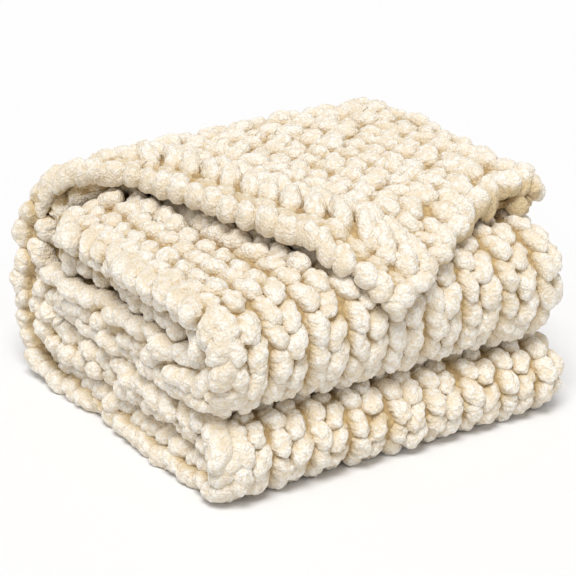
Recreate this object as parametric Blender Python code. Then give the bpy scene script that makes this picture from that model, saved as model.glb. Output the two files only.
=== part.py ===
"""A chunky hand-knitted throw, folded in half across its width and then laid back and forth.

The cloth is one panel.  A packet of two plies, joined by a turn at the right end, runs along one
folded path: it starts on top of the stack, turns down round the upper front fold, runs back, turns
round a hidden fold, comes forward, turns down round the lower front fold, runs back along the floor,
climbs the back in one tall fold, and comes forward over the top as a loose flap whose corner hangs
over the upper front fold.

Metres, +Z up.  X runs along the front folds, -Y is the front.  The origin is under the middle.
"""

from bisect import bisect_right
from math import cos, pi, radians, sin

import bpy

# --- driving sizes ---------------------------------------------------------------------------
LENGTH = 0.432          # along X, over the ends of the plies
DEPTH = 0.430           # along Y, over the front folds and the back fold
PLY_LOW = 0.0224        # pitch of the two plies in the lower fold
PLY_HIGH = 0.0312       # pitch of the two plies in the upper fold
PLY_FLAP = 0.0210       # pitch of the two plies in the flap, which are pulled flatter
GAP = 0.0016            # air between one ply and the next
PACKET_GAP = 0.0008     # extra air between one packet and the next
BACK_LOW_RADIUS = 0.052     # middle of the packet, at the foot of the back fold
BACK_HIGH_RADIUS = 0.064    # middle of the packet, at the top of the back fold
FLAP_HANG = radians(84)     # how far the flap's corner goes round the upper front fold
FLAP_UNDER_IN = 0.020       # how far the flap's under ply stands in from its long edge
FLAP_UNDER_REACH = 0.150    # how far forward of the middle line the under ply goes
FLAP_TURN_REACH = 0.006     # how much further forward the turn between the plies goes
FLAP_DROP_FROM = 0.152      # where the over ply, alone now, starts to lie down on the stack
FLAP_DROP_LENGTH = 0.040
FLAP_DROP = 0.85            # how far it lies down, as a share of the two plies' pitch
TOP_RUN_UNDER_BACK = 0.008  # how far the top run's end goes in under the bend of the back
SWAY_Y = 0.004              # how far the folds wander from straight, forward and back
SWAY_X = 0.004              # and along their length
CREVICE_DROP = 0.010        # how far the upper fold's weight pushes down the crevice beneath it
CREVICE_Z = 0.091
CREVICE_SPREAD = 0.085      # how far above and below the crevice that is felt

MIDDLE = (0.0046, -0.0083)  # middle of the finished stack, which is put over the origin
FRONT = -DEPTH / 2
BACK = DEPTH / 2
RIGHT = LENGTH / 2
LEFT = -LENGTH / 2

CREAM = (0.86, 0.79, 0.66, 1.0)

# How far each free left edge stands in (+) or out (-) from the stack's end, along the path.
# place: share of the whole path;  under, over: the ply on the inner and outer side of the packet.
LEFT_EDGES = (
    # place, under, over
    (0.00, 0.012, 0.004),
    (0.07, 0.022, 0.002),
    (0.16, 0.016, 0.004),
    (0.24, 0.008, 0.012),
    (0.34, 0.006, 0.016),
    (0.44, 0.014, 0.010),
    (0.52, 0.020, 0.012),
    (0.62, 0.016, 0.008),
    (0.72, 0.020, 0.004),
    (0.80, 0.024, 0.004),
)

# How far the turn at the right end stands in from the stack's end, along the path.
RIGHT_TURN = (
    # place, in
    (0.00, 0.010),
    (0.12, 0.012),
    (0.20, 0.014),
    (0.32, 0.006),
    (0.48, 0.002),
    (0.60, 0.000),
    (0.70, 0.008),
    (0.80, 0.002),
    (0.92, 0.000),
    (1.00, 0.004),
)

# The flap's long free edge: how far forward of the middle line, and where the edge is along X.
FLAP_EDGE = (
    # forward, x
    (-0.205, -0.212),
    (-0.165, -0.196),
    (-0.135, -0.166),
    (-0.103, -0.141),
    (-0.042, -0.128),
    (0.018, -0.116),
    (0.075, -0.104),
    (0.131, -0.088),
    (0.160, -0.070),
    (0.214, -0.044),
    (0.272, -0.006),
)

# The flap's short free edge: how far forward of the middle line it reaches at each place along X.
FLAP_END = (
    # x, forward
    (-0.010, 0.272),
    (0.030, 0.248),
    (0.070, 0.222),
    (0.110, 0.196),
    (0.150, 0.174),
    (0.190, 0.160),
    (0.225, 0.156),
)

# Soft swells and slumps of the whole stack: where, how wide, and how much it rises at full height.
SWELLS = (
    # x, y, spread_x, spread_y, rise
    (-0.05, 0.20, 0.12, 0.08, -0.005),
    (0.06, -0.02, 0.16, 0.10, 0.004),
    (0.20, 0.20, 0.14, 0.10, -0.010),
    (-0.19, 0.17, 0.10, 0.08, -0.006),
    (0.20, -0.16, 0.10, 0.09, -0.004),
)


def read(table, at, column):
    """The value in one column of a table at a place, on a straight line between its rows."""
    places = [row[0] for row in table]
    if at <= places[0]:
        return table[0][column]
    if at >= places[-1]:
        return table[-1][column]
    i = bisect_right(places, at)
    low, high = table[i - 1], table[i]
    t = (at - low[0]) / (high[0] - low[0])
    return low[column] + (high[column] - low[column]) * t


def ease(t):
    t = min(max(t, 0.0), 1.0)
    return t * t * (3 - 2 * t)


# --- the folded path, seen from the end: y forward and back, z up -------------------------------
RADIUS_LOW = PLY_LOW + PACKET_GAP
RADIUS_HIGH = PLY_HIGH + PACKET_GAP
FLOOR_RUN_Z = PLY_LOW - GAP / 2
SECOND_RUN_Z = FLOOR_RUN_Z + 2 * RADIUS_LOW
THIRD_RUN_Z = SECOND_RUN_Z + PLY_LOW + PLY_HIGH + PACKET_GAP
TOP_RUN_Z = THIRD_RUN_Z + 2 * RADIUS_HIGH
FLAP_Z = TOP_RUN_Z + PLY_HIGH + PLY_FLAP + PACKET_GAP
INNER_RADIUS = (THIRD_RUN_Z - SECOND_RUN_Z) / 2

HIGH_FOLD_Y = FRONT + PLY_HIGH + RADIUS_HIGH
LOW_FOLD_Y = FRONT + PLY_LOW + RADIUS_LOW
INNER_FOLD_Y = BACK - 3 * PLY_LOW - INNER_RADIUS - 4 * PACKET_GAP
BACK_Y = BACK - PLY_LOW
TOP_RUN_END_Y = BACK_Y - BACK_HIGH_RADIUS + TOP_RUN_UNDER_BACK
CLIMB = FLAP_Z - FLOOR_RUN_Z - BACK_LOW_RADIUS - BACK_HIGH_RADIUS
FLAP_RADIUS = RADIUS_HIGH + PLY_HIGH + PLY_FLAP + PACKET_GAP

# Each row is a run or a turn of the packet's middle line; a left turn is positive.
FOLDS = (
    # name, length, radius, angle, ply pitch at its end, steps
    ("top run", TOP_RUN_END_Y - HIGH_FOLD_Y, 0, 0, PLY_HIGH, 7),
    ("upper front fold", 0, RADIUS_HIGH, pi, PLY_HIGH, 9),
    ("third run", INNER_FOLD_Y - HIGH_FOLD_Y, 0, 0, PLY_HIGH, 6),
    ("hidden fold", 0, INNER_RADIUS, -pi, PLY_LOW, 7),
    ("second run", INNER_FOLD_Y - LOW_FOLD_Y, 0, 0, PLY_LOW, 6),
    ("lower front fold", 0, RADIUS_LOW, pi, PLY_LOW, 9),
    ("floor run", BACK_Y - BACK_LOW_RADIUS - LOW_FOLD_Y, 0, 0, PLY_LOW, 7),
    ("foot of the back", 0, BACK_LOW_RADIUS, pi / 2, PLY_LOW, 5),
    ("back", CLIMB, 0, 0, PLY_LOW * 0.5 + PLY_FLAP * 0.5, 3),
    ("top of the back", 0, BACK_HIGH_RADIUS, pi / 2, PLY_FLAP, 6),
    ("flap", BACK_Y - BACK_HIGH_RADIUS - HIGH_FOLD_Y, 0, 0, PLY_FLAP, 9),
    ("flap's hanging corner", 0, FLAP_RADIUS, FLAP_HANG, PLY_FLAP, 6),
)
ARC = [abs(row[2] * row[3]) + row[1] for row in FOLDS]
STARTS = [sum(ARC[:i]) for i in range(len(ARC) + 1)]
PATH_LENGTH = STARTS[-1]
FLAP_START = STARTS[10]
FLAP_MIDDLE = FLAP_START + BACK_Y - BACK_HIGH_RADIUS     # where the flap crosses the middle line
FLAP_EDGE_START = FLAP_MIDDLE + FLAP_EDGE[0][0]          # where its long edge leaves the stack's end


def walk():
    """Start point and heading of every fold."""
    y, z, heading = TOP_RUN_END_Y, TOP_RUN_Z, pi
    rows = []
    for _, length, radius, angle, _, _ in FOLDS:
        rows.append((y, z, heading))
        if angle:
            side = radius if angle > 0 else -radius
            cy, cz = y - side * sin(heading), z + side * cos(heading)
            heading += angle
            y, z = cy + side * sin(heading), cz - side * cos(heading)
        else:
            y, z = y + length * cos(heading), z + length * sin(heading)
    return rows


WALK = walk()


def path(v):
    """Point, heading and ply pitch of the packet's middle line, a distance v along it."""
    i = min(max(bisect_right(STARTS, v) - 1, 0), len(FOLDS) - 1)
    y, z, heading = WALK[i]
    _, _, radius, angle, pitch, _ = FOLDS[i]
    before = FOLDS[i - 1][4] if i else pitch
    along = v - STARTS[i]
    if angle:
        side = radius if angle > 0 else -radius
        cy, cz = y - side * sin(heading), z + side * cos(heading)
        heading += along / side
        y, z = cy + side * sin(heading), cz - side * cos(heading)
    else:
        y, z = y + along * cos(heading), z + along * sin(heading)
    return y, z, heading, before + (pitch - before) * ease(along / ARC[i])


# --- across the packet: out along the under ply, round the turn, back along the over ply ----------
RUN_STEPS = 9
TURN_STEPS = 5


def settle(x, y, z):
    """Soft unevenness of the stack; the floor stays flat."""
    height = z / FLAP_Z
    rise = 0.0
    for sx, sy, wide, deep, amount in SWELLS:
        rise += amount / (1 + ((x - sx) / wide) ** 2 + ((y - sy) / deep) ** 2)
    near = max(1 - ((z - CREVICE_Z) / CREVICE_SPREAD) ** 2, 0) ** 2
    drop = CREVICE_DROP * near * (0.2 + 0.8 * ease((x - LEFT) / LENGTH * 2))
    z += rise * ease(height) - drop
    y += SWAY_Y * sin(9 * x + 1.0) * ease(height * 2)
    x += SWAY_X * sin(11 * y + 20 * z + 1.2) * ease(height * 3)
    return x - MIDDLE[0], y - MIDDLE[1], z


def across(share, v, pitch):
    """x and offset from the middle line for a place across the packet, with its outward direction.

    share 0..1 is the under ply, 1..2 the turn, 2..3 the over ply.
    """
    turn = pitch / 2
    place = v / PATH_LENGTH
    right = RIGHT - turn - read(RIGHT_TURN, place, 1)
    left_under = LEFT + read(LEFT_EDGES, place, 1)
    left_over = LEFT + read(LEFT_EDGES, place, 2)
    if v > FLAP_EDGE_START:
        left_over = read(FLAP_EDGE, v - FLAP_MIDDLE, 1)
        left_under = left_over + FLAP_UNDER_IN
    if share <= 1:
        return left_under + (right - left_under) * share, -turn, 0.0, -1.0
    if share < 2:
        a = (share - 1) * pi
        return right + turn * sin(a), -turn * cos(a), sin(a), -cos(a)
    return right + (left_over - right) * (share - 2), turn, 0.0, 1.0


def point(share, v, outward):
    """A point on the cloth: outward is +1 on the packet's outer skin and -1 on its inner skin."""
    if v > FLAP_START:
        # the flap's end runs aslant, and its under ply stops before the hanging corner
        x, _, _, _ = across(share, v, PLY_FLAP)
        reach = read(FLAP_END, x, 1)
        if share < 2:
            reach = min(reach, FLAP_UNDER_REACH + FLAP_TURN_REACH * max(share - 1, 0))
        full = PATH_LENGTH - FLAP_MIDDLE
        start = FLAP_START - FLAP_MIDDLE
        t = (v - FLAP_START) / (PATH_LENGTH - FLAP_START)
        v = FLAP_MIDDLE + start + (reach - start) * t
    y, z, heading, pitch = path(v)
    x, offset, nx, nn = across(share, v, pitch)
    half = (pitch - GAP) / 2 * outward
    if v > FLAP_START and share >= 2:
        # with no ply beneath it, the hanging corner lies down on the upper front fold
        hang = ease((v - FLAP_MIDDLE - FLAP_DROP_FROM) / FLAP_DROP_LENGTH)
        offset -= pitch * FLAP_DROP * hang
    x += nx * half
    offset += nn * half
    y += offset * sin(heading)
    z -= offset * cos(heading)
    return settle(x, y, z)


def stations():
    rows = []
    for i, row in enumerate(FOLDS):
        steps = row[5]
        rows += [STARTS[i] + ARC[i] * k / steps for k in range(steps)]
    return rows + [PATH_LENGTH]


def shares():
    out = [k / RUN_STEPS for k in range(RUN_STEPS)]
    out += [1 + k / TURN_STEPS for k in range(TURN_STEPS)]
    out += [2 + k / RUN_STEPS for k in range(RUN_STEPS + 1)]
    return out


def build_throw():
    rows, columns = stations(), shares()
    wide = len(columns)
    verts, faces = [], []
    for outward in (1, -1):
        verts += [point(c, v, outward) for v in rows for c in columns]
    back = len(rows) * wide

    for i in range(len(rows) - 1):
        for j in range(wide - 1):
            a = i * wide + j
            b, c, d = a + 1, a + wide + 1, a + wide
            # split from b to d, which runs with the slanting end of the flap
            faces += [(a, b, d), (b, c, d)]
            faces += [(back + a, back + d, back + b), (back + b, back + d, back + c)]
    for i in range(len(rows) - 1):
        a, d = i * wide, (i + 1) * wide
        faces.append((a, d, back + d, back + a))
        b, c = a + wide - 1, d + wide - 1
        faces.append((c, b, back + b, back + c))
    last = (len(rows) - 1) * wide
    for j in range(wide - 1):
        faces.append((j + 1, j, back + j, back + j + 1))
        a = last + j
        faces.append((a, a + 1, back + a + 1, back + a))

    mesh = bpy.data.meshes.new("throw")
    mesh.from_pydata(verts, [], faces)
    mesh.validate()
    throw = bpy.data.objects.new("throw", mesh)
    bpy.context.collection.objects.link(throw)
    mesh.shade_smooth()
    mesh.set_sharp_from_angle(angle=radians(60))
    return throw


def chenille():
    yarn = bpy.data.materials.new("cream chenille")
    yarn.use_nodes = True
    shader = yarn.node_tree.nodes["Principled BSDF"]
    shader.inputs["Base Color"].default_value = CREAM
    shader.inputs["Roughness"].default_value = 0.95
    shader.inputs["Metallic"].default_value = 0.0
    return yarn


def main():
    for thing in list(bpy.data.objects):
        bpy.data.objects.remove(thing, do_unlink=True)
    throw = build_throw()
    throw.data.materials.append(chenille())


main()
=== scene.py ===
"""A chunky hand-knitted chenille throw, folded and laid back and forth into a soft stack.

The cloth is built in two layers.  The ground is one closed sheet that follows every fold.  On it lie
the loops: plump legs of chenille yarn in columns that run along the cloth, paired into V's.  Chains
of loops close the free edges, the cloth's first end and the end of the flap.
"""

from math import cos, pi, radians, sin

import bpy
import numpy as np
from bpy.props import FloatProperty, FloatVectorProperty, PointerProperty
from bpy.types import Operator, Panel, PropertyGroup
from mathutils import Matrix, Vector


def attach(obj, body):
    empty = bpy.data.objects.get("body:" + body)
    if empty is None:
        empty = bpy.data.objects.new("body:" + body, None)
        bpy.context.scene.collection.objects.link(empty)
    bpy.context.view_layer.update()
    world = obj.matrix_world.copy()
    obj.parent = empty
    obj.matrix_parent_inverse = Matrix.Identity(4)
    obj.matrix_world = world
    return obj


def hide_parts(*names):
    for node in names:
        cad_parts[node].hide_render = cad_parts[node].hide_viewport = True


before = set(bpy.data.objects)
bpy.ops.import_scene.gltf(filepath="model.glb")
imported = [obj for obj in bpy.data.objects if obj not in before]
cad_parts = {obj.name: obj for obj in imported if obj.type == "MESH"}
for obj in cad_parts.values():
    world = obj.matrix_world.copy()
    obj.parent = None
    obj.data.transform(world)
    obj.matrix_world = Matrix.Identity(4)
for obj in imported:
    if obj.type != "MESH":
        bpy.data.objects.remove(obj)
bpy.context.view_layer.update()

bl_info = {
    "name": "Chunky Knit Throw",
    "version": (1, 0, 0),
    "blender": (4, 5, 0),
    "location": "View3D > Sidebar > Throw",
    "description": "Builds a folded throw of jumbo chenille yarn, loop by loop",
    "category": "Add Mesh",
}

# --- the folded stack, the same sizes as its solid ----------------------------------------------
LENGTH = 0.432          # along X, over the ends of the plies
DEPTH = 0.430           # along Y, over the front folds and the back fold
PLY_LOW = 0.0224        # pitch of the two plies in the lower fold
PLY_HIGH = 0.0312       # pitch of the two plies in the upper fold
PLY_FLAP = 0.0210       # pitch of the two plies in the flap, which are pulled flatter
GAP = 0.0016            # air between one ply and the next
PACKET_GAP = 0.0008     # extra air between one packet and the next
BACK_LOW_RADIUS = 0.052     # middle of the packet, at the foot of the back fold
BACK_HIGH_RADIUS = 0.064    # middle of the packet, at the top of the back fold
FLAP_HANG = radians(84)     # how far the flap's corner goes round the upper front fold
FLAP_UNDER_IN = 0.020       # how far the flap's under ply stands in from its long edge
FLAP_UNDER_REACH = 0.150    # how far forward of the middle line the under ply goes
FLAP_TURN_REACH = 0.006     # how much further forward the turn between the plies goes
FLAP_DROP_FROM = 0.152      # where the over ply, alone now, starts to lie down on the stack
FLAP_DROP_LENGTH = 0.040
FLAP_DROP = 0.85            # how far it lies down, as a share of the two plies' pitch
TOP_RUN_UNDER_BACK = 0.008  # how far the top run's end goes in under the bend of the back
SWAY_Y = 0.004              # how far the folds wander from straight, forward and back
SWAY_Y_WAVE = (9, 1.0)          # along x, and where it starts
SWAY_X = 0.004              # and along their length
SWAY_X_WAVE = (11, 20, 1.2)     # along y, along z, and where it starts
CREVICE_DROP = 0.010        # how far the upper fold's weight pushes down the crevice beneath it
CREVICE_LEAST = 0.2             # share of that drop at the left end
CREVICE_Z = 0.091
CREVICE_SPREAD = 0.085      # how far above and below the crevice that is felt

MIDDLE = (0.0046, -0.0083)  # middle of the finished stack, which is put over the origin
FRONT = -DEPTH / 2
BACK = DEPTH / 2
RIGHT = LENGTH / 2
LEFT = -LENGTH / 2

# How far each free left edge stands in (+) or out (-) from the stack's end, along the path.
# place: share of the whole path;  under, over: the ply on the inner and outer side of the packet.
LEFT_EDGES = (
    # place, under, over
    (0.00, 0.012, 0.004),
    (0.07, 0.022, 0.002),
    (0.16, 0.016, 0.004),
    (0.24, 0.008, 0.012),
    (0.34, 0.006, 0.016),
    (0.44, 0.014, 0.010),
    (0.52, 0.020, 0.012),
    (0.62, 0.016, 0.008),
    (0.72, 0.020, 0.004),
    (0.80, 0.024, 0.004),
)

# How far the turn at the right end stands in from the stack's end, along the path.
RIGHT_TURN = (
    # place, in
    (0.00, 0.010),
    (0.12, 0.012),
    (0.20, 0.014),
    (0.32, 0.006),
    (0.48, 0.002),
    (0.60, 0.000),
    (0.70, 0.008),
    (0.80, 0.002),
    (0.92, 0.000),
    (1.00, 0.004),
)

# The flap's long free edge: how far forward of the middle line, and where the edge is along X.
FLAP_EDGE = (
    # forward, x
    (-0.205, -0.212),
    (-0.165, -0.196),
    (-0.135, -0.166),
    (-0.103, -0.141),
    (-0.042, -0.128),
    (0.018, -0.116),
    (0.075, -0.104),
    (0.131, -0.088),
    (0.160, -0.070),
    (0.214, -0.044),
    (0.272, -0.006),
)

# The flap's short free edge: how far forward of the middle line it reaches at each place along X.
FLAP_END = (
    # x, forward
    (-0.010, 0.272),
    (0.030, 0.248),
    (0.070, 0.222),
    (0.110, 0.196),
    (0.150, 0.174),
    (0.190, 0.160),
    (0.225, 0.156),
)

# Soft swells and slumps of the whole stack: where, how wide, and how much it rises at full height.
SWELLS = (
    # x, y, spread_x, spread_y, rise
    (-0.05, 0.20, 0.12, 0.08, -0.005),
    (0.06, -0.02, 0.16, 0.10, 0.004),
    (0.20, 0.20, 0.14, 0.10, -0.010),
    (-0.19, 0.17, 0.10, 0.08, -0.006),
    (0.20, -0.16, 0.10, 0.09, -0.004),
)

RADIUS_LOW = PLY_LOW + PACKET_GAP
RADIUS_HIGH = PLY_HIGH + PACKET_GAP
FLOOR_RUN_Z = PLY_LOW - GAP / 2
SECOND_RUN_Z = FLOOR_RUN_Z + 2 * RADIUS_LOW
THIRD_RUN_Z = SECOND_RUN_Z + PLY_LOW + PLY_HIGH + PACKET_GAP
TOP_RUN_Z = THIRD_RUN_Z + 2 * RADIUS_HIGH
FLAP_Z = TOP_RUN_Z + PLY_HIGH + PLY_FLAP + PACKET_GAP
INNER_RADIUS = (THIRD_RUN_Z - SECOND_RUN_Z) / 2

HIGH_FOLD_Y = FRONT + PLY_HIGH + RADIUS_HIGH
LOW_FOLD_Y = FRONT + PLY_LOW + RADIUS_LOW
INNER_FOLD_Y = BACK - 3 * PLY_LOW - INNER_RADIUS - 4 * PACKET_GAP
BACK_Y = BACK - PLY_LOW
TOP_RUN_END_Y = BACK_Y - BACK_HIGH_RADIUS + TOP_RUN_UNDER_BACK
CLIMB = FLAP_Z - FLOOR_RUN_Z - BACK_LOW_RADIUS - BACK_HIGH_RADIUS
FLAP_RADIUS = RADIUS_HIGH + PLY_HIGH + PLY_FLAP + PACKET_GAP

# Each row is a run or a turn of the packet's middle line; a left turn is positive.
FOLDS = (
    # name, length, radius, angle, ply pitch at its end, steps
    ("top run", TOP_RUN_END_Y - HIGH_FOLD_Y, 0, 0, PLY_HIGH, 10),
    ("upper front fold", 0, RADIUS_HIGH, pi, PLY_HIGH, 14),
    ("third run", INNER_FOLD_Y - HIGH_FOLD_Y, 0, 0, PLY_HIGH, 10),
    ("hidden fold", 0, INNER_RADIUS, -pi, PLY_LOW, 10),
    ("second run", INNER_FOLD_Y - LOW_FOLD_Y, 0, 0, PLY_LOW, 10),
    ("lower front fold", 0, RADIUS_LOW, pi, PLY_LOW, 14),
    ("floor run", BACK_Y - BACK_LOW_RADIUS - LOW_FOLD_Y, 0, 0, PLY_LOW, 12),
    ("foot of the back", 0, BACK_LOW_RADIUS, pi / 2, PLY_LOW, 8),
    ("back", CLIMB, 0, 0, (PLY_LOW + PLY_FLAP) / 2, 5),
    ("top of the back", 0, BACK_HIGH_RADIUS, pi / 2, PLY_FLAP, 9),
    ("flap", BACK_Y - BACK_HIGH_RADIUS - HIGH_FOLD_Y, 0, 0, PLY_FLAP, 14),
    ("flap's hanging corner", 0, FLAP_RADIUS, FLAP_HANG, PLY_FLAP, 9),
)
NAMES = [row[0] for row in FOLDS]
ARC = [abs(row[2] * row[3]) + row[1] for row in FOLDS]
STARTS = [sum(ARC[:i]) for i in range(len(ARC) + 1)]
PATH_LENGTH = STARTS[-1]


def start_of(name):
    """How far along the path a fold starts."""
    return STARTS[NAMES.index(name)]


def end_of(name):
    """How far along the path a fold ends."""
    return STARTS[NAMES.index(name) + 1]


FLAP_START = start_of("flap")
FLAP_MIDDLE = FLAP_START + BACK_Y - BACK_HIGH_RADIUS
FLAP_EDGE_START = FLAP_MIDDLE + FLAP_EDGE[0][0]


def read(table, at, column):
    """Values of one column of a table at one place or many, on straight lines between its rows."""
    return np.interp(at, [row[0] for row in table], [row[column] for row in table])


def ease(t):
    """A smooth step from 0 to 1."""
    t = np.clip(t, 0.0, 1.0)
    return t * t * (3 - 2 * t)


def tabulate_path(places):
    """y, z, heading and ply pitch of the packet's middle line at many places along it."""
    y, z, heading = TOP_RUN_END_Y, TOP_RUN_Z, pi
    before = PLY_HIGH
    out = np.zeros((4, len(places)))
    for i, (_, length, radius, angle, pitch, _) in enumerate(FOLDS):
        here = (places >= STARTS[i]) & (places <= STARTS[i + 1] + 1e-9)
        along = places[here] - STARTS[i]
        out[3, here] = before + (pitch - before) * ease(along / ARC[i])
        if angle:
            side = radius if angle > 0 else -radius
            cy, cz = y - side * sin(heading), z + side * cos(heading)
            turned = heading + along / side
            out[0, here] = cy + side * np.sin(turned)
            out[1, here] = cz - side * np.cos(turned)
            out[2, here] = turned
            heading += angle
            y, z = cy + side * sin(heading), cz - side * cos(heading)
        else:
            out[0, here] = y + along * cos(heading)
            out[1, here] = z + along * sin(heading)
            out[2, here] = heading
            y, z = y + length * cos(heading), z + length * sin(heading)
        before = pitch
    return out


SAMPLES = 4001
V = np.linspace(0.0, PATH_LENGTH, SAMPLES)
PATH_Y, PATH_Z, HEADING, PITCH = tabulate_path(V)
CURVE = np.gradient(HEADING, V)
RIGHT_X = RIGHT - PITCH / 2 - read(RIGHT_TURN, V / PATH_LENGTH, 1)
ON_FLAP_EDGE = V > FLAP_EDGE_START
EDGE_OVER = np.where(
    ON_FLAP_EDGE, read(FLAP_EDGE, V - FLAP_MIDDLE, 1), LEFT + read(LEFT_EDGES, V / PATH_LENGTH, 2)
)
EDGE_UNDER = np.where(
    ON_FLAP_EDGE, EDGE_OVER + FLAP_UNDER_IN, LEFT + read(LEFT_EDGES, V / PATH_LENGTH, 1)
)
DROP = PITCH * FLAP_DROP * ease((V - FLAP_MIDDLE - FLAP_DROP_FROM) / FLAP_DROP_LENGTH)
TURN_BLEND = 0.03       # that drop of the over ply fades out this close to the turn


def at(table, v):
    """A table of the path, read at places along it."""
    return np.interp(v, V, table)


def settle(x, y, z):
    """Soft unevenness of the stack; the floor stays flat."""
    height = z / FLAP_Z
    rise = 0.0
    for sx, sy, wide, deep, amount in SWELLS:
        rise = rise + amount / (1 + ((x - sx) / wide) ** 2 + ((y - sy) / deep) ** 2)
    near = np.clip(1 - ((z - CREVICE_Z) / CREVICE_SPREAD) ** 2, 0, 1) ** 2
    share = CREVICE_LEAST + (1 - CREVICE_LEAST) * ease((x - LEFT) / LENGTH * 2)
    drop = CREVICE_DROP * near * share
    z = z + rise * ease(height) - drop
    along_x, start = SWAY_Y_WAVE
    y = y + SWAY_Y * np.sin(along_x * x + start) * ease(height * 2)
    along_y, along_z, start = SWAY_X_WAVE
    x = x + SWAY_X * np.sin(along_y * y + along_z * z + start) * ease(height * 3)
    return np.stack([x - MIDDLE[0], y - MIDDLE[1], z], axis=-1)


def on_path(x, v, lift):
    """Points at x, a distance v along the path and lift outwards from the packet's middle line."""
    heading = at(HEADING, v)
    y = at(PATH_Y, v) + lift * np.sin(heading)
    z = at(PATH_Z, v) - lift * np.cos(heading)
    return settle(x, y, z)


def place(w, v, height):
    """Points on the cloth's outer skin.

    w is the way across the packet's outer skin: below 0 on the over ply, leftwards; then round the
    turn at the right end; then out along the under ply.  v is the way along the path, and height
    is how far above the skin the point is.
    """
    pitch = at(PITCH, v)
    middle = pitch / 2
    reach = middle + (pitch - GAP) / 2
    round_end = pi * reach
    angle = np.clip(w / reach, 0, pi)
    out = reach + height
    x = at(RIGHT_X, v) + np.minimum(w, 0) - np.maximum(w - round_end, 0) + np.sin(angle) * out
    return on_path(x, v, np.cos(angle) * out - at(DROP, v) * ease(-w / TURN_BLEND))


# --- yarn sizes -------------------------------------------------------------------------------
SEED = 11
FINE = (20, 20)         # points round a leg, and rings along it
MEDIUM = (16, 14)
COARSE = (14, 12)
CROWD = 0.45            # how much closer the points stand on a leg's outer side

LEG = 0.0238            # from one column of legs to the next
COURSE = 0.0310         # from one row of loops to the next
STAGGER = 0.42          # how far along a course the next column's legs stand
ACROSS = int(LENGTH / LEG)      # whole columns across the packet
ROUND = 5               # columns that may lie past the right turn
FIRST_COLUMN = 0.6      # columns from the free edge to the middle of the first one
LEAN = radians(14)      # a V's two legs lean this much each way
SLANT = radians(-6)     # and the whole cloth is pulled over by this much

LEG_WIDE = 0.0126       # half of it, like the other sizes of a leg
LEG_THICK = 0.0138
FLAT_LEG = 0.0244       # half its length on a flat run
BENT_LEG = 0.0012       # and how much longer that is in the tightest fold
TIGHTEST = RADIUS_HIGH  # its radius
LEAST_STRETCH = 0.15    # on the inside of the tightest folds
PLUMP = 2.25            # higher is blunter ends
SHINGLE = 0.0058        # a leg's lower end stands this much above its middle
SWELL = 0.13            # how much fatter it is there than in the middle
TUCK = 0.0086           # and its upper end goes this much further in
SINK = 0.0108           # how far a leg's middle lies under the skin
FLOOR_GAP = 0.0006      # no leg comes closer to the floor

# How uneven the knitting is: the spread of normal draws, or both ends of even ones.
BOW = 0.0012
SLIP = 0.0016
TIP = radians(6)
LIFT = 0.0011
STRETCH = (0.92, 1.12)
GIRTH = (0.93, 1.10)

LUMPS = 56              # small tufts of pile on each leg
LUMP_SIZE = (0.0036, 0.0056)    # the least and the greatest radius
LUMP_SPAN = 0.97        # how far towards a leg's ends they stand
CREST_MIDDLE = 0.45     # lower than this on a tuft, the pile goes in instead of out
END_SHARE = 0.6         # how much less the tufts stand out sideways at a leg's ends

IN_SHADE = 0.0120       # the painted shade between the legs is darkest this far under the skin
HEIGHT = 0.0160         # and none is left this much higher
OPEN_DEPTH = 0.74       # the open side of an edge chain never gets more painted shade than at this depth


def in_order(faces):
    """Triangles sorted by their points, because Blender lists a ball's faces differently each time."""
    first = faces.argmin(axis=1)[:, None]
    faces = np.take_along_axis(faces, (first + np.arange(3)) % 3, axis=1)
    return faces[np.lexsort(faces.T[::-1])]


class Form:
    """The points of one leg of yarn: t from its upper to its lower end, theta round it."""

    def __init__(self, segments, rings):
        bpy.ops.object.select_all(action="DESELECT")
        bpy.ops.mesh.primitive_uv_sphere_add(segments=segments, ring_count=rings, radius=1.0)
        ball = bpy.context.object
        mesh = ball.data
        co = np.zeros(len(mesh.vertices) * 3)
        mesh.vertices.foreach_get("co", co)
        co = co.reshape(-1, 3)
        mesh.calc_loop_triangles()
        faces = np.zeros(len(mesh.loop_triangles) * 3, dtype=np.int64)
        mesh.loop_triangles.foreach_get("vertices", faces)
        self.faces = in_order(faces.reshape(-1, 3))
        self.t = 1 - np.arccos(np.clip(co[:, 2], -1, 1)) / pi
        self.theta = np.arctan2(co[:, 1], co[:, 0])
        bpy.data.objects.remove(ball, do_unlink=True)


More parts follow.
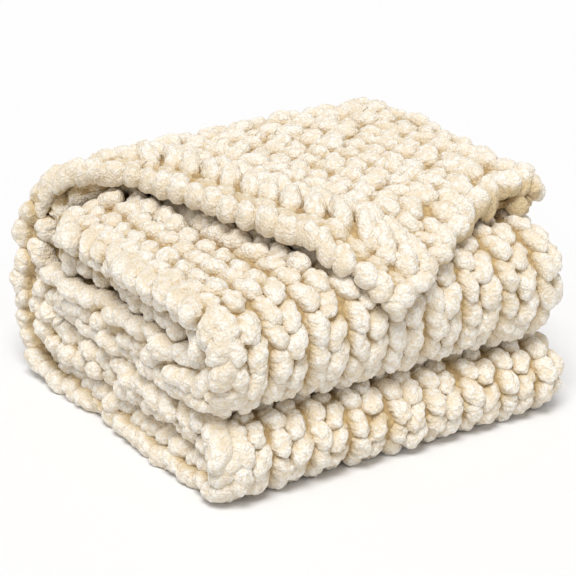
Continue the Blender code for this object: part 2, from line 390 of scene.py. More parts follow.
def legs(form, tilt, long, wide, thick, rng):
    """Local shape of many legs: across, along, up, and how far each point is up a tuft."""
    t = form.t[None, :]
    theta = form.theta[None, :] + CROWD * np.cos(form.theta[None, :])
    count = len(tilt)
    end = 2 * t - 1

    def shape(end, theta):
        """Points of a smooth leg, before its tufts."""
        girth = np.sqrt(np.clip(1 - np.abs(end) ** PLUMP, 0, 1)) * (1 + SWELL * end)
        across = girth * np.cos(theta) * wide[:, None]
        up = girth * np.sin(theta) * thick[:, None]
        along = end * long[:, None]
        return across, along, up

    across, along, up = shape(end, theta)
    tuft_end = rng.uniform(-LUMP_SPAN, LUMP_SPAN, (count, LUMPS))
    tuft_theta = rng.uniform(0, 2 * pi, (count, LUMPS))
    tufts = shape(tuft_end, tuft_theta)
    size = rng.uniform(*LUMP_SIZE, (count, LUMPS))
    crest = np.zeros_like(across)
    for k in range(LUMPS):
        apart = sum((a - b[:, k : k + 1]) ** 2 for a, b in zip((across, along, up), tufts))
        crest = np.maximum(crest, np.clip(1 - apart / size[:, k : k + 1] ** 2, 0, 1))
    crest = np.sqrt(crest)
    push = bpy.context.scene.throw_yarn.tuft_rise * (crest - CREST_MIDDLE)
    at_end = np.abs(end) ** 3
    across = across + push * np.cos(theta) * (1 - END_SHARE * at_end)
    up = up + push * np.sin(theta) * (1 - END_SHARE * at_end)
    along = along + push * np.sign(end) * at_end

    # a leg comes up from behind the loop above it and rounds over the loop below it
    bow = rng.normal(0, BOW, (count, 1))
    across = across + bow * (1 - end**2)
    up = up + SHINGLE * end - TUCK * np.clip(-end, 0, 1) ** 2
    turn = tilt[:, None]
    return (
        across * np.cos(turn) + along * np.sin(turn),
        along * np.cos(turn) - across * np.sin(turn),
        up,
        crest,
    )


def running(rate, v):
    """Distance along a line, from how fast it grows at each place."""
    return np.concatenate([[0], np.cumsum((rate[1:] + rate[:-1]) / 2 * np.diff(v))])


class SkinLine:
    """A line on the outer skin that legs are laid along: w and v are where it runs."""

    def __init__(self, w, v):
        reach = at(PITCH, v) / 2 + (at(PITCH, v) - GAP) / 2
        self.over = pi * reach
        lift = np.cos(np.clip(w / reach, 0, pi)) * reach
        self.stretch = np.clip(1 + lift * at(CURVE, v), LEAST_STRETCH, None)
        self.w, self.v = w, v
        grow = np.gradient(v) * self.stretch
        slide = np.gradient(w)
        rate = np.hypot(grow, slide)
        self.s = running(rate, np.arange(len(v)))
        self.skew = np.arctan2(slide, grow)

    def get(self, table, s):
        """A table of the line, read at distances along it."""
        return np.interp(s, self.s, table)

    def lay(self, centre, rise, shape):
        """Points of legs on the line, from their centres, their rise and their own shape."""
        across, along, up = shape
        s = centre[:, None] + along
        skew, stretch = self.get(self.skew, s), self.get(self.stretch, s)
        w = self.get(self.w, s) + across * np.cos(skew)
        v = self.get(self.v, s) - across * np.sin(skew) / stretch
        return place(w, v, rise[:, None] + up)


class EdgeLine:
    """A line down the free edges at the left end: x and lift are where it runs, along the path."""

    def __init__(self, x, lift, v):
        stretch = np.clip(1 + lift * at(CURVE, v), LEAST_STRETCH, None)
        self.x, self.lift, self.v = x, lift, v
        self.s = running(np.hypot(stretch, np.gradient(x, v)), v)

    def lay(self, centre, rise, shape):
        """Points of legs on the line; they rise away from the cloth, to the left."""
        across, along, up = shape
        s = centre[:, None] + along
        x = np.interp(s, self.s, self.x) - rise[:, None] - up
        return on_path(x, np.interp(s, self.s, self.v), np.interp(s, self.s, self.lift) + across)


class FirstEndLine:
    """A line across the cloth's first end, on one of its plies."""

    def __init__(self, lift):
        self.lift = lift

    def lay(self, centre, rise, shape):
        """Points of legs on the line; they rise away from the cloth, backwards."""
        across, along, up = shape
        x = centre[:, None] + along
        return settle(x, PATH_Y[0] + rise[:, None] + up, PATH_Z[0] + self.lift + across)


def joined(name, form, batches):
    """One mesh of many legs."""
    points = np.concatenate([b[0].reshape(-1, 3) for b in batches])
    points[:, 2] = np.maximum(points[:, 2], FLOOR_GAP)
    crest = np.concatenate([b[1].ravel() for b in batches])
    tone = np.concatenate([np.repeat(b[2], b[1].shape[1]) for b in batches])
    depth = np.concatenate([b[3].ravel() for b in batches])
    size = len(form.t)
    count = len(points) // size
    faces = (form.faces[None] + np.arange(count)[:, None, None] * size).reshape(-1, 3)
    mesh = bpy.data.meshes.new(name)
    mesh.from_pydata(points.tolist(), [], faces.tolist())
    for label, values in (("crest", crest), ("tone", tone), ("depth", depth)):
        layer = mesh.attributes.new(label, "FLOAT", "POINT")
        layer.data.foreach_set("value", values.astype(np.float32))
    mesh.shade_smooth()
    mesh.materials.append(material("chenille pile"))
    piece = bpy.data.objects.new(name, mesh)
    bpy.context.collection.objects.link(piece)
    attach(piece, "root")


# --- materials ----------------------------------------------------------------------------------
MIX_SOCKETS = (0, 6, 7)     # a mix node's factor and its two colours
MIX_COLOUR = 2              # and the colour it gives
STRAY = (0.0030, 0.0030, 0.0030)    # how far the fine tufts stray from even rows


def feed(tree, socket, value):
    """Sets a socket to a value, or joins it to another node's socket."""
    if isinstance(value, bpy.types.NodeSocket):
        tree.links.new(value, socket)
    else:
        socket.default_value = value


def node(tree, kind, where, **inputs):
    """Adds a shader node and feeds its sockets; a socket's name has low lines for its spaces."""
    made = tree.nodes.new("ShaderNode" + kind)
    made.location = where
    for label, value in inputs.items():
        feed(tree, made.inputs[label.replace("_", " ")], value)
    return made


def attribute(tree, name, where):
    """One of a leg's own numbers, point by point."""
    made = node(tree, "Attribute", where)
    made.attribute_name = name
    return made.outputs["Fac"]


def remap(tree, source, span, to, where):
    """Turns one span of values smoothly into another."""
    made = node(
        tree, "MapRange", where, Value=source, From_Min=span[0], From_Max=span[1], To_Min=to[0], To_Max=to[1]
    )
    made.interpolation_type = "SMOOTHSTEP"
    return made.outputs["Result"]


def blend(tree, factor, first, second, where):
    """Mixes two colours; each may be a colour or a socket, and so may the factor."""
    made = node(tree, "Mix", where)
    made.data_type = "RGBA"
    for i, value in zip(MIX_SOCKETS, (factor, first, second)):
        feed(tree, made.inputs[i], value)
    return made.outputs[MIX_COLOUR]


def bump(tree, height, where, invert=False, **inputs):
    """Raises the surface by a height; inverted, it sinks it."""
    made = node(tree, "Bump", where, Height=height, **inputs)
    made.invert = invert
    return made.outputs["Normal"]


def new_yarn(name, roughness, specular):
    """A yarn material: itself, its node tree and its shader."""
    yarn = bpy.data.materials.new(name)
    yarn.use_nodes = True
    shader = yarn.node_tree.nodes["Principled BSDF"]
    shader.inputs["Roughness"].default_value = roughness
    shader.inputs["Specular IOR Level"].default_value = specular
    return yarn, yarn.node_tree, shader


def chenille(colours):
    """Cut-pile yarn: pale tuft tops, painted shade in warmer tan down the creases and between the legs, fine
    nap, a soft sheen at grazing angles.
    """
    yarn, tree, shader = new_yarn("chenille pile", roughness=1.0, specular=0.12)
    here = node(tree, "TexCoord", (-1400, 0)).outputs["Object"]
    crest = attribute(tree, "crest", (-1200, 400))
    depth = attribute(tree, "depth", (-1200, 200))
    tone = attribute(tree, "tone", (-1200, 0))
    nap = node(tree, "TexNoise", (-1200, -300), Vector=here, Scale=560.0, Detail=3.0, Roughness=0.65)
    mottle = node(tree, "TexNoise", (-1200, -600), Vector=here, Scale=46.0, Detail=3.0, Roughness=0.55)
    wander = node(tree, "TexNoise", (-1600, -900), Vector=here, Scale=300.0, Detail=2.0)
    stray = node(tree, "VectorMath", (-1400, -900))
    stray.operation = "MULTIPLY_ADD"
    for socket, value in zip(stray.inputs, (wander.outputs["Color"], STRAY, here)):
        feed(tree, socket, value)
    tufts = node(tree, "TexVoronoi", (-1200, -900), Vector=stray.outputs["Vector"], Scale=310.0)
    tufts = tufts.outputs["Distance"]
    nap = nap.outputs["Fac"]
    mottle = mottle.outputs["Fac"]

    layers = (
        # where it lies, the span of that which counts, its share at both ends, and its colour
        (crest, (0.05, 0.60), (0.30, 0.0), colours.crease_shade_and_mottle),     # painted shade between the modelled tufts
        (tufts, (0.35, 0.80), (0.0, 0.45), colours.crease_shade_and_mottle),     # painted shade between the fine ones
        (depth, (0.30, 0.96), (0.92, 0.0), colours.gap),        # painted shade low down between the legs
        (mottle, (0.45, 0.72), (0.0, 0.16), colours.crease_shade_and_mottle),    # wide patches
        (nap, (0.38, 0.58), (0.42, 0.0), colours.nap),          # the nap's shadowed side
        (tone, (0.0, 1.0), (0.0, 0.08), colours.crease_shade_and_mottle),        # some legs are warmer
    )
    tint = (*colours.pile, 1)
    for i, (source, span, to, added) in enumerate(layers):
        share = remap(tree, source, span, to, (-1000, 500 - 250 * i))
        tint = blend(tree, share, tint, (*added, 1), (150 * i - 750, 300))
    feed(tree, shader.inputs["Base Color"], tint)

    swell = bump(tree, tufts, (-700, -500), invert=True, Strength=1.0, Distance=0.0014)
    fine = bump(tree, nap, (-500, -300), Strength=1.0, Distance=0.0008, Normal=swell)
    feed(tree, shader.inputs["Normal"], fine)
    shader.inputs["Sheen Weight"].default_value = 0.18
    shader.inputs["Sheen Roughness"].default_value = 0.6
    shader.inputs["Sheen Tint"].default_value = (1.0, 0.95, 0.86, 1)
    return yarn


def ground_yarn(colours):
    """The backs of the loops, seen only down in the gaps, coloured tan to dark brown as painted shade."""
    yarn, tree, shader = new_yarn("chenille ground", roughness=1.0, specular=0.1)
    here = node(tree, "TexCoord", (-1000, 0)).outputs["Object"]
    lumps = node(tree, "TexVoronoi", (-800, 100), Vector=here, Scale=130.0).outputs["Distance"]
    nap = node(tree, "TexNoise", (-800, -200), Vector=here, Scale=420.0, Detail=4.0, Roughness=0.62)
    # painted shade: the gap colour, going to the deep colour between the ground's lumps
    edge = remap(tree, lumps, (0.1, 0.7), (0.0, 1.0), (-600, 100))
    tint = blend(tree, edge, (*colours.gap, 1), (*colours.deep, 1), (-400, 100))
    feed(tree, shader.inputs["Base Color"], tint)
    tuft = bump(tree, lumps, (-400, -200), invert=True, Strength=0.8, Distance=0.003)
    fine = bump(tree, nap.outputs["Fac"], (-200, -300), Strength=0.5, Distance=0.001, Normal=tuft)
    feed(tree, shader.inputs["Normal"], fine)
    return yarn


def material(name):
    """One of the two finishes of the yarn, made the first time it is asked for."""
    found = bpy.data.materials.get(name)
    if found:
        return found
    colours = bpy.context.scene.throw_colours
    return chenille(colours) if name == "chenille pile" else ground_yarn(colours)


# --- the ground ---------------------------------------------------------------------------------
GROUND_EDGE_IN = 0.010  # how far it stops short of the free edges
GROUND_LEAST = 0.003    # half its thickness where it is thinnest
RUN_STEPS = 14          # faces across one ply
TURN_STEPS = 7          # and round the turn


def ground_point(share, v, outward):
    """share 0..1 is the under ply, 1..2 the turn, 2..3 the over ply; outward is +1 or -1."""
    pitch = at(PITCH, v)
    middle = pitch / 2
    half = max((pitch - GAP) / 2 - bpy.context.scene.throw_yarn.ground_in, GROUND_LEAST)
    right = at(RIGHT_X, v)
    left_under = at(EDGE_UNDER, v) + GROUND_EDGE_IN
    left_over = at(EDGE_OVER, v) + GROUND_EDGE_IN
    if share <= 1:
        x, lift, side = left_under + (right - left_under) * share, -middle, -1.0
        x_out = 0.0
    elif share < 2:
        angle = (share - 1) * pi
        x, lift, side = right + middle * sin(angle), -middle * cos(angle), -cos(angle)
        x_out = sin(angle)
    else:
        x, lift, side = right + (left_over - right) * (share - 2), middle, 1.0
        x_out = 0.0
    return x + x_out * half * outward, lift + side * half * outward


def ground_at(share, v, outward):
    """A point of the ground; on the flap its rows are drawn in to follow the slanting end."""
    x, lift = ground_point(share, v, outward)
    if v > FLAP_START:
        reach = float(read(FLAP_END, x, 1)) - GROUND_EDGE_IN
        if share < 2:
            reach = min(reach, FLAP_UNDER_REACH + FLAP_TURN_REACH * max(share - 1, 0))
        start = FLAP_START - FLAP_MIDDLE
        t = (v - FLAP_START) / (PATH_LENGTH - FLAP_START)
        v = FLAP_MIDDLE + start + (reach - start) * t
        x, lift = ground_point(share, v, outward)
        if share >= 2:
            lift -= at(DROP, v)
    return on_path(x, v, lift)


def build_ground():
    """One closed sheet: an outer and an inner grid, joined along all four edges."""
    rows = []
    for i, row in enumerate(FOLDS):
        rows += [STARTS[i] + ARC[i] * k / row[5] for k in range(row[5])]
    rows[0] = GROUND_EDGE_IN
    rows.append(PATH_LENGTH)
    columns = [k / RUN_STEPS for k in range(RUN_STEPS)]
    columns += [1 + k / TURN_STEPS for k in range(TURN_STEPS)]
    columns += [2 + k / RUN_STEPS for k in range(RUN_STEPS + 1)]
    wide = len(columns)
    verts, faces = [], []
    for outward in (1, -1):
        verts += [ground_at(c, v, outward) for v in rows for c in columns]
    back = len(rows) * wide
    for i in range(len(rows) - 1):
        for j in range(wide - 1):
            a = i * wide + j
            b, c, d = a + 1, a + wide + 1, a + wide
            faces += [(a, b, d), (b, c, d)]
            faces += [(back + a, back + d, back + b), (back + b, back + d, back + c)]
    for i in range(len(rows) - 1):
        a, d = i * wide, (i + 1) * wide
        faces.append((a, d, back + d, back + a))
        b, c = a + wide - 1, d + wide - 1
        faces.append((c, b, back + b, back + c))
    last = (len(rows) - 1) * wide
    for j in range(wide - 1):
        faces.append((j + 1, j, back + j, back + j + 1))
        a = last + j
        faces.append((a, a + 1, back + a + 1, back + a))
    mesh = bpy.data.meshes.new("throw_ground")
    mesh.from_pydata([tuple(p) for p in verts], [], faces)
    mesh.validate()
    mesh.shade_smooth()
    mesh.materials.append(material("chenille ground"))
    ground = bpy.data.objects.new("throw_ground", mesh)
    bpy.context.collection.objects.link(ground)
    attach(ground, "root")
    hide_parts("throw")


# --- where the loops are laid ---------------------------------------------------------------------
HIDDEN = 0.055          # how far loops go on into a crevice that can't be seen into
BACK_FROM = end_of("foot of the back") - 0.03
BACK_TO = start_of("top of the back") + 0.02
SPANS = {
    # name: from, to, along the path
    "upper_fold": (0.0, end_of("upper front fold") + HIDDEN),
    "lower_fold": (end_of("second run") - HIDDEN, end_of("lower front fold") + HIDDEN),
    "floor": (end_of("lower front fold") + HIDDEN, BACK_FROM),
    "back": (BACK_FROM, BACK_TO),
    "flap": (BACK_TO, PATH_LENGTH),
}
TURNED_FROM = -0.010    # columns belong to the turned end from this far before the turn
TURNED_TO = 0.004       # until this far after it
TURN_COLUMNS = 10       # more columns on either side that may come into it
TURN_END_IN = 0.010     # they stop this far short of the flap's end
SHY = 0.0085            # the first column stands this much further in where the edge is folded
SHY_FADE = 0.05         # and this far along the flap's edge it no longer does

FLAP_END_IN = 0.020     # the flap's columns stop this far short of its end
UNDER_END_IN = 0.035    # and this far short of it the top run is no longer covered
COVERED = 0.045         # further under the flap than this, no loops are laid,
OPEN_RIGHT = 0.05       # except this close to the right turn
TUCKED_RISE = 0.0080    # legs just under the flap's long edge fill the space below it
TUCKED_FADE = 0.008     # on either side of that edge

# On the flap the chain at its long edge is followed by a groove and a ridge.
FLAP_COLUMNS = {
    # column: raised, lean in degrees, half length, half width, dip of its lower end
    0: (0.0000, -27, 0.0246, 0.0115, 0.004),
    1: (-0.0062, -14, 0.0285, 0.0135, 0.0),
    2: (0.0070, -44, 0.0285, 0.0116, 0.014),
    3: (0.0025, -24, 0.0275, 0.0128, 0.004),
}
FREE_FROM = 0.02        # these shapes begin this far along the flap's edge
FREE_FADE = 0.06        # and are full this much further on

CHAIN_STEP = 0.0262     # from knob to knob along the free edges
CHAIN_THICK = 0.0148
CHAIN_LEAN = radians(26)
CHAIN_BACK = 0.3        # every other leg leans only this share of it
CHAIN_UNEVEN = 0.0034
CHAIN_FROM = 0.01
HANGING_LONG = 0.0225   # where the flap's under ply hangs free, its chain has longer legs,
HANGING_IN = 0.012      # lies further in
HANGING_UNEVEN = 0.3    # and is only this share as uneven
EDGE_CHAINS = (
    # runs, side, lift in pitches, half width, half length; the side is -1 on the under ply's edge
    ("upper", -1, 0.62, 0.0114, 0.0205),
    ("upper", 0, 0.62, 0.0114, 0.0205),
    ("upper", 1, 0.62, 0.0114, 0.0200),
    ("lower", -1, 0.50, 0.0123, 0.0205),
    ("lower", 1, 0.50, 0.0123, 0.0235),
)
UPPER_UNTIL = 0.8       # the upper runs' chains end this far round the hidden fold
LOWER_FROM = 0.3        # and the lower runs' begin this far round it
ONTO_FLAP = 0.02        # the over ply's chain goes this far along the flap's edge

BOUND_OFF_STEP = 0.0235 # from knob to knob along the flap's end, about
BOUND_OFF_FROM = 0.008  # in from the flap's tip
BOUND_OFF_IN = 0.010    # in from its end
BOUND_OFF_LEAN = radians(30)
BOUND_OFF_LEG = {"raised": 0.0025, "long": 0.0190, "wide": 0.0128}
BOUND_OFF_SAMPLES = 400

CAST_ON_LEFT = 0.030    # in from the left and the right end
CAST_ON_RIGHT = 0.012
CAST_ON_SHIFT = 0.25    # courses that the two chains are set apart, each way
CAST_ON_LEAN = radians(22)
CAST_ON_LEG = {"raised": 0.004, "long": 0.0235}


# --- the loops ----------------------------------------------------------------------------------
def leg_rows(rng, count):
    """The random part of a run of legs, always drawn in the same order."""
    return (
        rng.normal(0, SLIP, count),
        rng.normal(0, TIP, count),
        rng.uniform(*STRETCH, count),
        rng.uniform(*GIRTH, count),
        rng.normal(0, LIFT, count),
        rng.uniform(0, 1, count),
    )


def lay(
    line, form, centres, rng, lean, long, raised=0.0, wide=LEG_WIDE, thick=LEG_THICK, open_side=0, dip=0.0
):
    """Legs along a line: their points, tuft heights, tones, and depths that set the painted shade low down
    between the legs.

    The lean, the sizes and the dip of the lower ends may differ from leg to leg.  open_side is the
    side of a chain, -1 or 1, that no other leg shades; it is given less painted shade.
    """
    slip, tip, stretch, girth, lift, tone = leg_rows(rng, len(centres))
    across, along, up, crest = legs(form, lean + tip, long * stretch, wide * girth, thick * girth, rng)
    up = up - np.asarray(dip)[..., None] * (2 * form.t - 1)
    lift = lift + raised
    points = line.lay(centres + slip, lift - SINK, (across, along, up))
    # depth sets the painted shade: most of it low down between the legs, none higher up
    depth = np.clip((up + lift[:, None] - SINK + IN_SHADE) / HEIGHT, 0, 1)
    depth = np.where(across * open_side > 0, np.maximum(depth, OPEN_DEPTH), depth)
    return points, crest, tone, depth


def centres_between(line, first, last, phase, step=COURSE):
    """Evenly spaced places along a line, between two places on the path."""
    low, high = np.interp([first, last], line.v, line.s)
    steps = np.arange(np.ceil(low / step - phase), np.floor(high / step - phase) + 1)
    return (steps + phase) * step


def zigzag(angle, count, back=-1):
    """Leans of a chain's legs, by turns; back is what every other one has as its share."""
    return angle * np.where(np.arange(count) % 2 == 0, 1, back)


def under_flap(x, v):
    """How far to the right of the flap's long edge a place on the top run or upper fold lies."""
    past = v - start_of("upper front fold")
    forward = -HIGH_FOLD_Y + np.where(past > 0, past / RADIUS_HIGH * FLAP_RADIUS, past)
    return np.where(forward < read(FLAP_END, x, 1) - UNDER_END_IN, x - read(FLAP_EDGE, forward, 1), -1.0)


def long_at(v):
    """Half a leg's length: the yarn stretches where the cloth bends."""
    return FLAT_LEG + BENT_LEG * np.clip(np.abs(at(CURVE, v)) * TIGHTEST, 0, 1)


def skin_column(j):
    """The line of one column, which keeps its distance from the free edge and runs round the turn."""
    shy = SHY * (1 - ease((V - FLAP_EDGE_START) / SHY_FADE))
    return SkinLine(EDGE_OVER + (j + FIRST_COLUMN) * LEG + shy - RIGHT_X, V)


def column_phase(j):
    """Where a column's legs stand along a course."""
    return 0.5 + STAGGER * (j % 2)


def column_lean(j):
    """How far a column's legs lean, towards or away from the next column's."""
    return SLANT + (LEAN if j % 2 == 0 else -LEAN)


def stack_legs(j, x, v):
    """What lay is told about the legs of a column before the flap."""
    tucked = np.where(v < start_of("upper front fold"), under_flap(x, v), -1.0)
    return {
        "raised": TUCKED_RISE * ease((tucked + TUCKED_FADE) / (2 * TUCKED_FADE)),
        "lean": column_lean(j),
        "long": long_at(v),
    }


def flap_legs(j, v):
    """What lay is told about the legs of a column on the flap."""
    lean = column_lean(j)
    long = long_at(v)
    if j not in FLAP_COLUMNS:
        return {"lean": lean, "long": long}
    high, degrees, half, girth, drop = FLAP_COLUMNS[j]
    free = ease((v - FLAP_EDGE_START - FREE_FROM) / FREE_FADE)
    return {
        "raised": high * free,
        "lean": lean + (radians(degrees) - lean) * free,
        "long": long + (half - FLAT_LEG) * free,
        "wide": LEG_WIDE + (girth - LEG_WIDE) * free,
        "dip": drop * free,
        "open_side": -1 if j == 0 else 0,
    }


def loops_on_skin(name, form, span, rng, on_flap=False):
    """Legs on the over ply's outer skin, from one place on the path to another."""
    batches = []
    for j in range(ACROSS + ROUND):
        line = skin_column(j)
        step = CHAIN_STEP if on_flap and j == 0 else COURSE
        centres = centres_between(line, *span, phase=column_phase(j), step=step)
        w = line.get(line.w, centres)
        v = line.get(line.v, centres)
        x = w + at(RIGHT_X, v)
        keep = w < TURNED_FROM
        if on_flap:
            keep &= (v - FLAP_MIDDLE) < read(FLAP_END, x, 1) - FLAP_END_IN
        else:
            past_fold = v > end_of("upper front fold")
            keep &= (under_flap(x, v) < COVERED) | (w >= -OPEN_RIGHT) | past_fold
        if keep.any():
            shape = flap_legs(j, v[keep]) if on_flap else stack_legs(j, x[keep], v[keep])
            batches.append(lay(line, form, centres[keep], rng, **shape))
    joined(name, form, batches)


def loops_round_turn(name, form, rng):
    """Legs round the turns between the plies at the right end, all the way along the path."""
    batches = []
    for j in range(ACROSS - TURN_COLUMNS, ACROSS + ROUND + TURN_COLUMNS):
        line = skin_column(j)
        centres = centres_between(line, 0.0, PATH_LENGTH, phase=column_phase(j))
        w, v, over = (line.get(table, centres) for table in (line.w, line.v, line.over))
        keep = (w >= TURNED_FROM) & (w < over + TURNED_TO)
        keep &= (v - FLAP_MIDDLE) < FLAP_UNDER_REACH + FLAP_TURN_REACH - TURN_END_IN
        if keep.any():
            batches.append(lay(line, form, centres[keep], rng, lean=column_lean(j), long=long_at(v[keep])))
    joined(name, form, batches)


def edge_line(runs, side, lift):
    """The line of one chain down the left end: on the edge of one ply, or between the two."""
    fold = start_of("hidden fold")
    bend = ARC[NAMES.index("hidden fold")]
    if runs == "upper":
        here = V < fold + bend * UPPER_UNTIL
    else:
        here = V > fold + bend * LOWER_FROM
        if side > 0:
            here &= V < FLAP_EDGE_START + ONTO_FLAP
    x = (EDGE_OVER * (1 + side) + EDGE_UNDER * (1 - side)) / 2
    return EdgeLine(x[here], PITCH[here] * lift * side, V[here])


def loops_down_edges(name, form, rng):
    """Chains down the left end: three on each thick packet, two on each thin one."""
    batches = []
    for k, (runs, side, lift, wide, long) in enumerate(EDGE_CHAINS):
        line = edge_line(runs, side, lift)
        first = line.v[0] + CHAIN_FROM
        last = min(line.v[-1], FLAP_MIDDLE + FLAP_UNDER_REACH)
        centres = centres_between(line, first, last, phase=0.5 * (k % 2) + 0.25, step=CHAIN_STEP)
        out = rng.normal(0.0, CHAIN_UNEVEN, len(centres))
        hanging = np.interp(centres, line.s, line.v) > FLAP_EDGE_START
        shape = {
            "raised": np.where(hanging, out * HANGING_UNEVEN - HANGING_IN, out),
            "lean": zigzag(CHAIN_LEAN if k % 2 else -CHAIN_LEAN, len(centres), CHAIN_BACK),
            "long": np.where(hanging, HANGING_LONG, long),
            "wide": wide,
            "thick": CHAIN_THICK,
            "open_side": side,
        }
        batches.append(lay(line, form, centres, rng, **shape))
    joined(name, form, batches)


def bound_off(name, form, rng):
    """The chain across the flap's short end, and on round the turn beside it."""
    w = np.linspace(FLAP_END[0][0] + BOUND_OFF_FROM - RIGHT, PLY_FLAP * pi, BOUND_OFF_SAMPLES)
    line = SkinLine(w, FLAP_MIDDLE + read(FLAP_END, w + RIGHT, 1) - BOUND_OFF_IN)
    count = int(line.s[-1] / BOUND_OFF_STEP)
    centres = (np.arange(count) + 0.5) * line.s[-1] / count
    lean = zigzag(BOUND_OFF_LEAN, count)
    joined(name, form, [lay(line, form, centres, rng, lean=lean, open_side=1, **BOUND_OFF_LEG)])


def cast_on(name, form, rng):
    """The chains across the cloth's first end, under the bend of the back."""
    first = LEFT + CAST_ON_LEFT
    count = int((RIGHT - CAST_ON_RIGHT - first) / COURSE)
    batches = []
    for side in (-1, 1):
        line = FirstEndLine(side * PITCH[0] / 2)
        centres = first + (np.arange(count) + 0.5 + CAST_ON_SHIFT * side) * COURSE
        lean = zigzag(CAST_ON_LEAN, count)
        batches.append(lay(line, form, centres, rng, lean=lean, open_side=side, **CAST_ON_LEG))
    joined(name, form, batches)


# --- stage --------------------------------------------------------------------------------------
TARGET = Vector((-MIDDLE[0], -MIDDLE[1], 0.1))
CAMERA_AZIMUTH = radians(-33)
CAMERA_ELEVATION = radians(23.2)
CAMERA_DISTANCE = 2.5
CAMERA_UP = 0.018
CAMERA_RIGHT = 0.007
LENS = 144.9
SUN_FROM = (-0.66, -0.78, 1.95)
SUN_STRENGTH = 2.37
SUN_SPREAD = radians(26)        # a wide sun casts soft shadows
SUN_COLOUR = (1.0, 0.99, 0.97)
SKY_STRENGTH = 0.51
FLOOR_SIZE = 16.0


def lay_floor(colours):
    """The floor, as a piece of the stage."""
    bpy.ops.object.select_all(action="DESELECT")
    bpy.ops.mesh.primitive_plane_add(size=FLOOR_SIZE, location=(0, 0, 0))
    floor = bpy.context.object
    floor.name = "floor"
    paper = bpy.data.materials.new("floor paper")
    paper.use_nodes = True
    shader = paper.node_tree.nodes["Principled BSDF"]
    shader.inputs["Base Color"].default_value = (*colours.floor, 1)
    shader.inputs["Roughness"].default_value = 0.9
    shader.inputs["Specular IOR Level"].default_value = 0.1
    floor.data.materials.append(paper)


def light_stage(context):
    """A broad, soft sun from the upper left, and an even white sky."""
    lamp = bpy.data.lights.new("sun", "SUN")
    lamp.energy = SUN_STRENGTH
    lamp.angle = SUN_SPREAD
    lamp.color = SUN_COLOUR
    holder = bpy.data.objects.new("sun", lamp)
    context.collection.objects.link(holder)
    holder.rotation_euler = (-Vector(SUN_FROM)).to_track_quat("-Z", "Y").to_euler()
    sky = bpy.data.worlds.new("studio")
    sky.use_nodes = True
    background = sky.node_tree.nodes["Background"]
    background.inputs["Color"].default_value = (1, 1, 1, 1)
    background.inputs["Strength"].default_value = SKY_STRENGTH
    context.scene.world = sky
    context.scene.view_settings.view_transform = "Standard"


def set_camera(context):
    """The camera, aimed along one line and then moved aside without turning."""
    lens = bpy.data.cameras.new("camera")
    lens.lens = LENS
    camera = bpy.data.objects.new("camera", lens)
    context.collection.objects.link(camera)
    level = cos(CAMERA_ELEVATION)
    away = Vector((sin(CAMERA_AZIMUTH) * level, -cos(CAMERA_AZIMUTH) * level, sin(CAMERA_ELEVATION)))
    turn = (-away).to_track_quat("-Z", "Y")
    aside = turn @ Vector((CAMERA_RIGHT, CAMERA_UP, 0))
    camera.location = TARGET + away * CAMERA_DISTANCE + aside
    camera.rotation_euler = turn.to_euler()
    context.scene.camera = camera


# --- what the sidebar shows -----------------------------------------------------------------------
class ThrowYarn(PropertyGroup):
    """Sizes of the yarn."""

    tuft_rise: FloatProperty(
        name="Tuft rise", description="How far the pile's tufts stand up", default=0.0025, unit="LENGTH"
    )
    ground_in: FloatProperty(
        name="Ground depth", description="How far the ground lies under the skin", default=0.0062,
        unit="LENGTH",
    )


def colour(name, description, default):
    """A colour setting."""
    return FloatVectorProperty(
        name=name, description=description, default=default, subtype="COLOR", size=3, min=0.0, max=1.0
    )


class ThrowColours(PropertyGroup):
    """Colours of the yarn, among them the painted shade of its creases and gaps, and of the floor."""

    pile: colour("Pile", "The tops of the tufts", (0.985, 0.965, 0.925))
    nap: colour("Nap", "The shadowed side of the fine nap", (0.875, 0.772, 0.60))
    # Crease: painted shade between the tufts, and the tint of random warmer patches and legs
    crease_shade_and_mottle: colour("Crease", "Between the tufts", (0.77, 0.59, 0.335))
    # Gap: painted shade low down between the legs and on the ground
    gap: colour("Gap", "Low down between the legs", (0.60, 0.44, 0.215))
    # Deep: painted shade at its darkest, on the ground between its lumps
    deep: colour("Deep", "The ground at its darkest", (0.44, 0.31, 0.16))
    floor: colour("Floor", "The floor", (0.845, 0.848, 0.860))


class THROW_OT_ground(Operator):
    """Builds the ground sheet under the loops"""

    bl_idname = "throw.ground"
    bl_label = "Ground"

    def execute(self, context):
        build_ground()
        return {"FINISHED"}


class THROW_OT_front_loops(Operator):
    """Knits the loops of the top run and the two front folds"""

    bl_idname = "throw.front_loops"
    bl_label = "Front folds"

    def execute(self, context):
        form = Form(*FINE)
        rng = np.random.default_rng(SEED)
        loops_on_skin("upper_fold_loops", form, SPANS["upper_fold"], rng)
        loops_on_skin("lower_fold_loops", form, SPANS["lower_fold"], rng)
        return {"FINISHED"}


class THROW_OT_back_loops(Operator):
    """Knits the loops of the floor run and the back"""

    bl_idname = "throw.back_loops"
    bl_label = "Floor run and back"

    def execute(self, context):
        form = Form(*COARSE)
        rng = np.random.default_rng(SEED + 1)
        loops_on_skin("floor_loops", form, SPANS["floor"], rng)
        loops_on_skin("back_loops", form, SPANS["back"], rng)
        cast_on("cast_on_loops", form, rng)
        return {"FINISHED"}


class THROW_OT_flap_loops(Operator):
    """Knits the loops of the flap, with its groove and ridge, and binds off its end"""

    bl_idname = "throw.flap_loops"
    bl_label = "Flap"

    def execute(self, context):
        form = Form(*FINE)
        rng = np.random.default_rng(SEED + 2)
        loops_on_skin("flap_loops", form, SPANS["flap"], rng, on_flap=True)
        bound_off("bound_off_loops", form, rng)
        return {"FINISHED"}


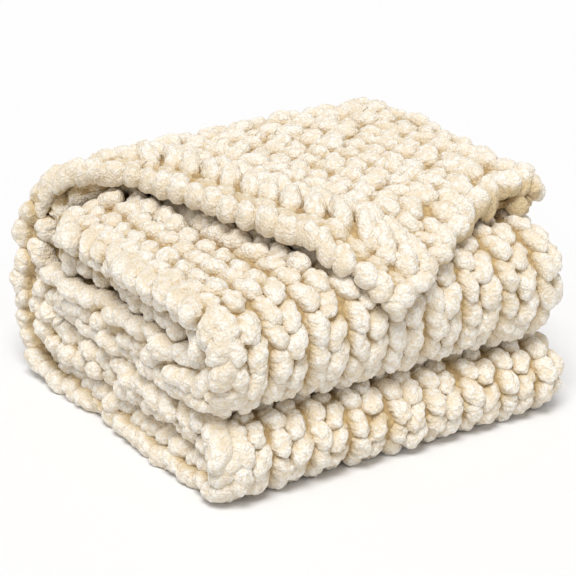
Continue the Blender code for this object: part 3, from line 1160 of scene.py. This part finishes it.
class THROW_OT_edge_loops(Operator):
    """Knits the chains down the free edges at the left end"""

    bl_idname = "throw.edge_loops"
    bl_label = "Free edges"

    def execute(self, context):
        loops_down_edges("free_edge_loops", Form(*FINE), np.random.default_rng(SEED + 3))
        return {"FINISHED"}


class THROW_OT_turn_loops(Operator):
    """Knits the loops round the turns at the right end"""

    bl_idname = "throw.turn_loops"
    bl_label = "Turned end"

    def execute(self, context):
        loops_round_turn("turned_end_loops", Form(*MEDIUM), np.random.default_rng(SEED + 4))
        return {"FINISHED"}


class THROW_OT_stage(Operator):
    """Sets out the floor, the lights and the camera"""

    bl_idname = "throw.stage"
    bl_label = "Stage"

    def execute(self, context):
        lay_floor(context.scene.throw_colours)
        light_stage(context)
        set_camera(context)
        return {"FINISHED"}


class THROW_PT_panel(Panel):
    """Lists the throw's pieces, sizes and colours"""

    bl_label = "Chunky Knit Throw"
    bl_idname = "THROW_PT_panel"
    bl_space_type = "VIEW_3D"
    bl_region_type = "UI"
    bl_category = "Throw"

    def draw(self, context):
        layout = self.layout
        for operator in OPERATORS:
            layout.operator(operator.bl_idname)
        for group in (context.scene.throw_yarn, context.scene.throw_colours):
            for name in group.__annotations__:
                layout.prop(group, name)


OPERATORS = (
    THROW_OT_ground,
    THROW_OT_front_loops,
    THROW_OT_back_loops,
    THROW_OT_flap_loops,
    THROW_OT_edge_loops,
    THROW_OT_turn_loops,
    THROW_OT_stage,
)
CLASSES = (ThrowYarn, ThrowColours, *OPERATORS, THROW_PT_panel)


def register():
    """Adds the operators, the settings and the panel."""
    for kind in CLASSES:
        bpy.utils.register_class(kind)
    bpy.types.Scene.throw_yarn = PointerProperty(type=ThrowYarn)
    bpy.types.Scene.throw_colours = PointerProperty(type=ThrowColours)


def unregister():
    """Takes them away again."""
    del bpy.types.Scene.throw_colours
    del bpy.types.Scene.throw_yarn
    for kind in reversed(CLASSES):
        bpy.utils.unregister_class(kind)


def main():
    register()
    bpy.ops.throw.ground()
    bpy.ops.throw.front_loops()
    bpy.ops.throw.back_loops()
    bpy.ops.throw.flap_loops()
    bpy.ops.throw.edge_loops()
    bpy.ops.throw.turn_loops()
    bpy.ops.throw.stage()


if __name__ == "__main__":
    main()
